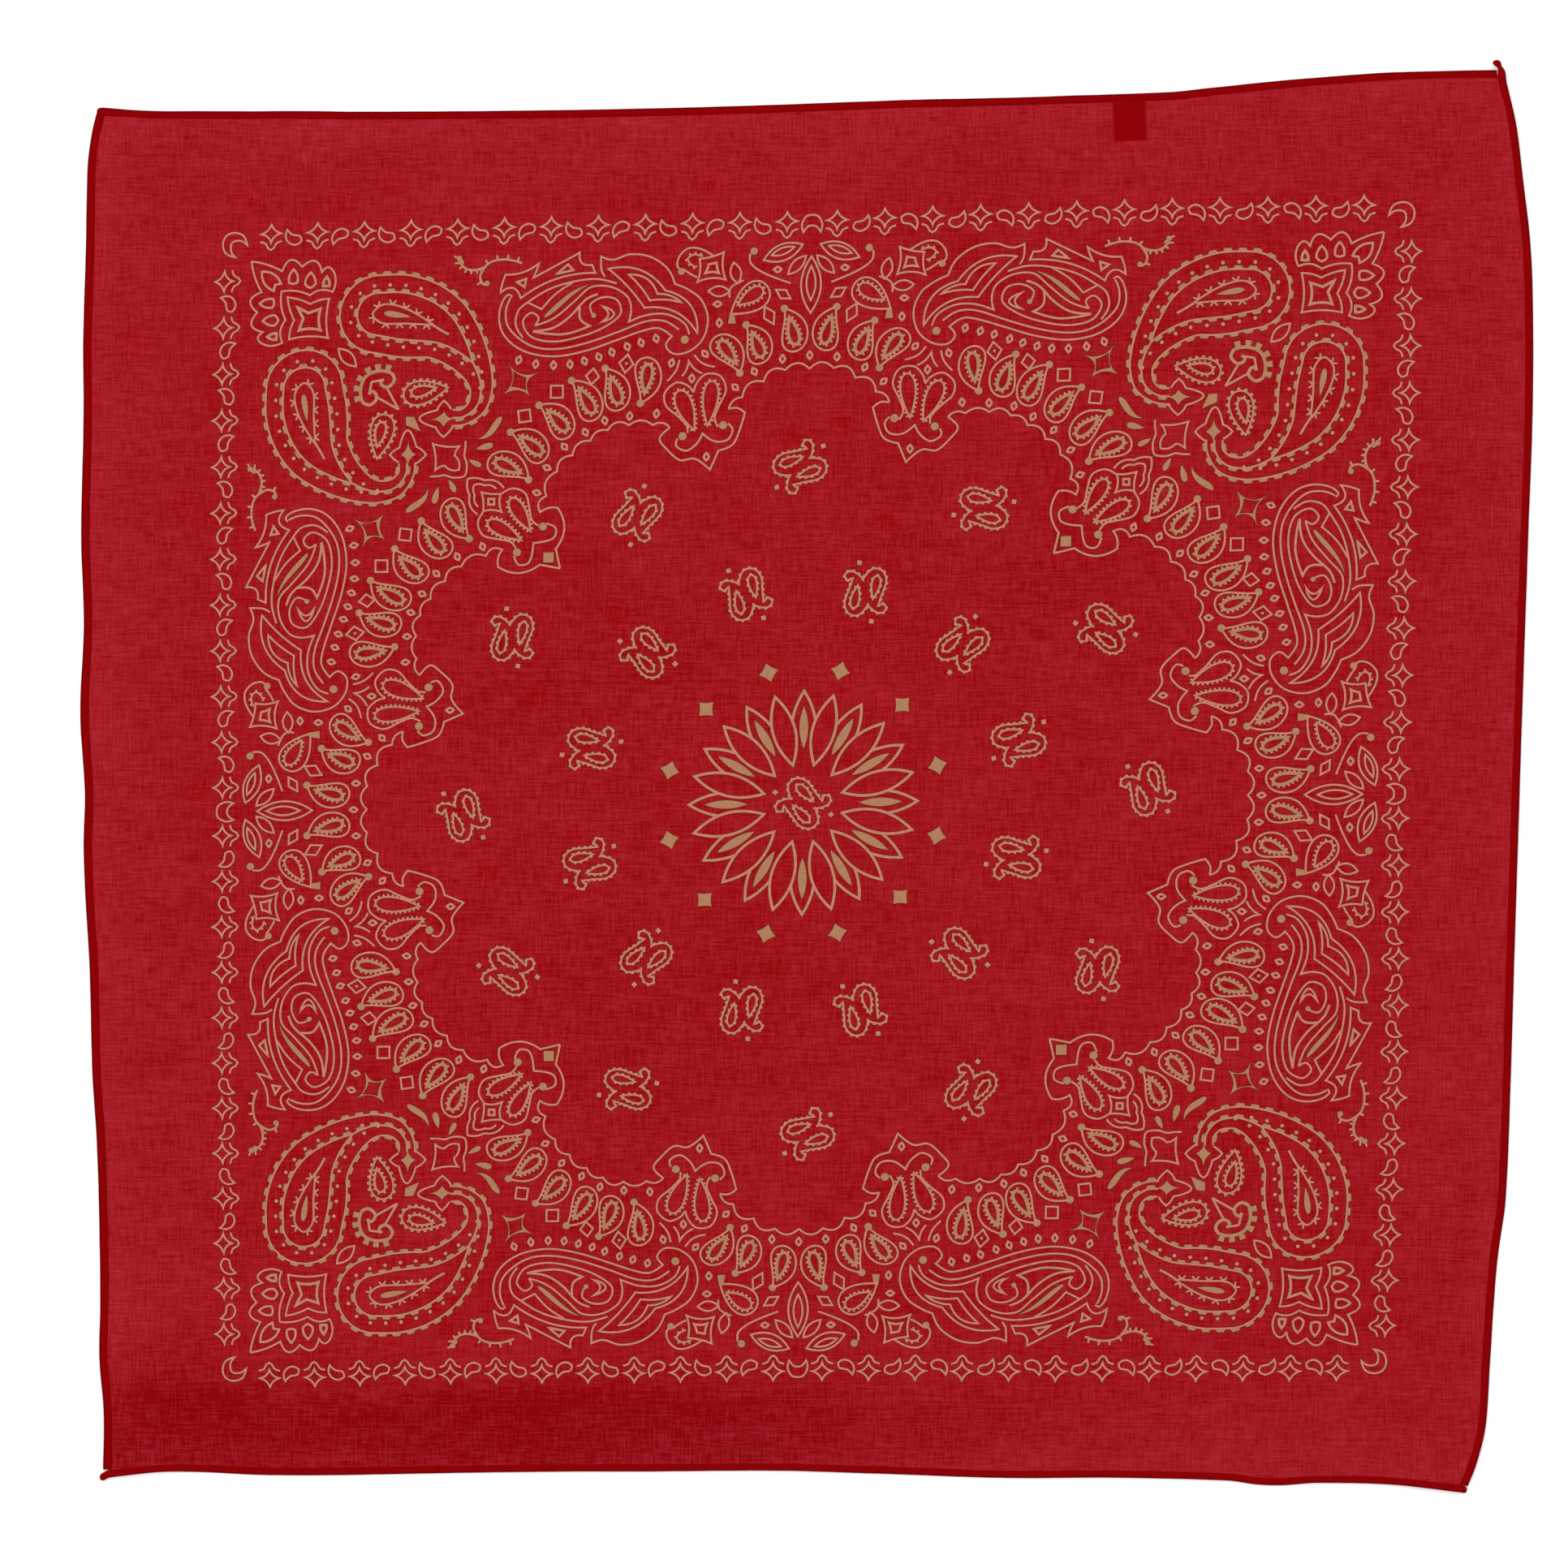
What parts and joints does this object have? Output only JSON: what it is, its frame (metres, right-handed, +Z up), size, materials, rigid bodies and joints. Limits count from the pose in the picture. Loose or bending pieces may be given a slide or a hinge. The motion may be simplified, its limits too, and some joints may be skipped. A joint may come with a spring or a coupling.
{
  "type": "bandana",
  "caption": "Square cotton bandana laid flat, face up, with a paisley print, narrow rolled hems on all sides and a small blank label sewn under its top edge.",
  "frame": {"origin": "on the table under the middle of the bandana's outline", "axes": "+Z up out of the printed face, +Y towards the top edge that holds the label, +X towards the right edge"},
  "size_m": [0.5834, 0.5752, 0.0064],
  "materials": {
    "printed_cotton": "thin plain-weave cotton, dyed red and printed in tan, matte",
    "hem_cotton": "the same cotton rolled and stitched, matte",
    "label_ribbon": "blank woven ribbon, matte"
  },
  "bodies": {
    "root": {"cloth_panel": "printed_cotton", "hem_top": "hem_cotton", "hem_right": "hem_cotton", "hem_bottom": "hem_cotton", "hem_left": "hem_cotton", "label": "label_ribbon"}
  },
  "joints": []
}
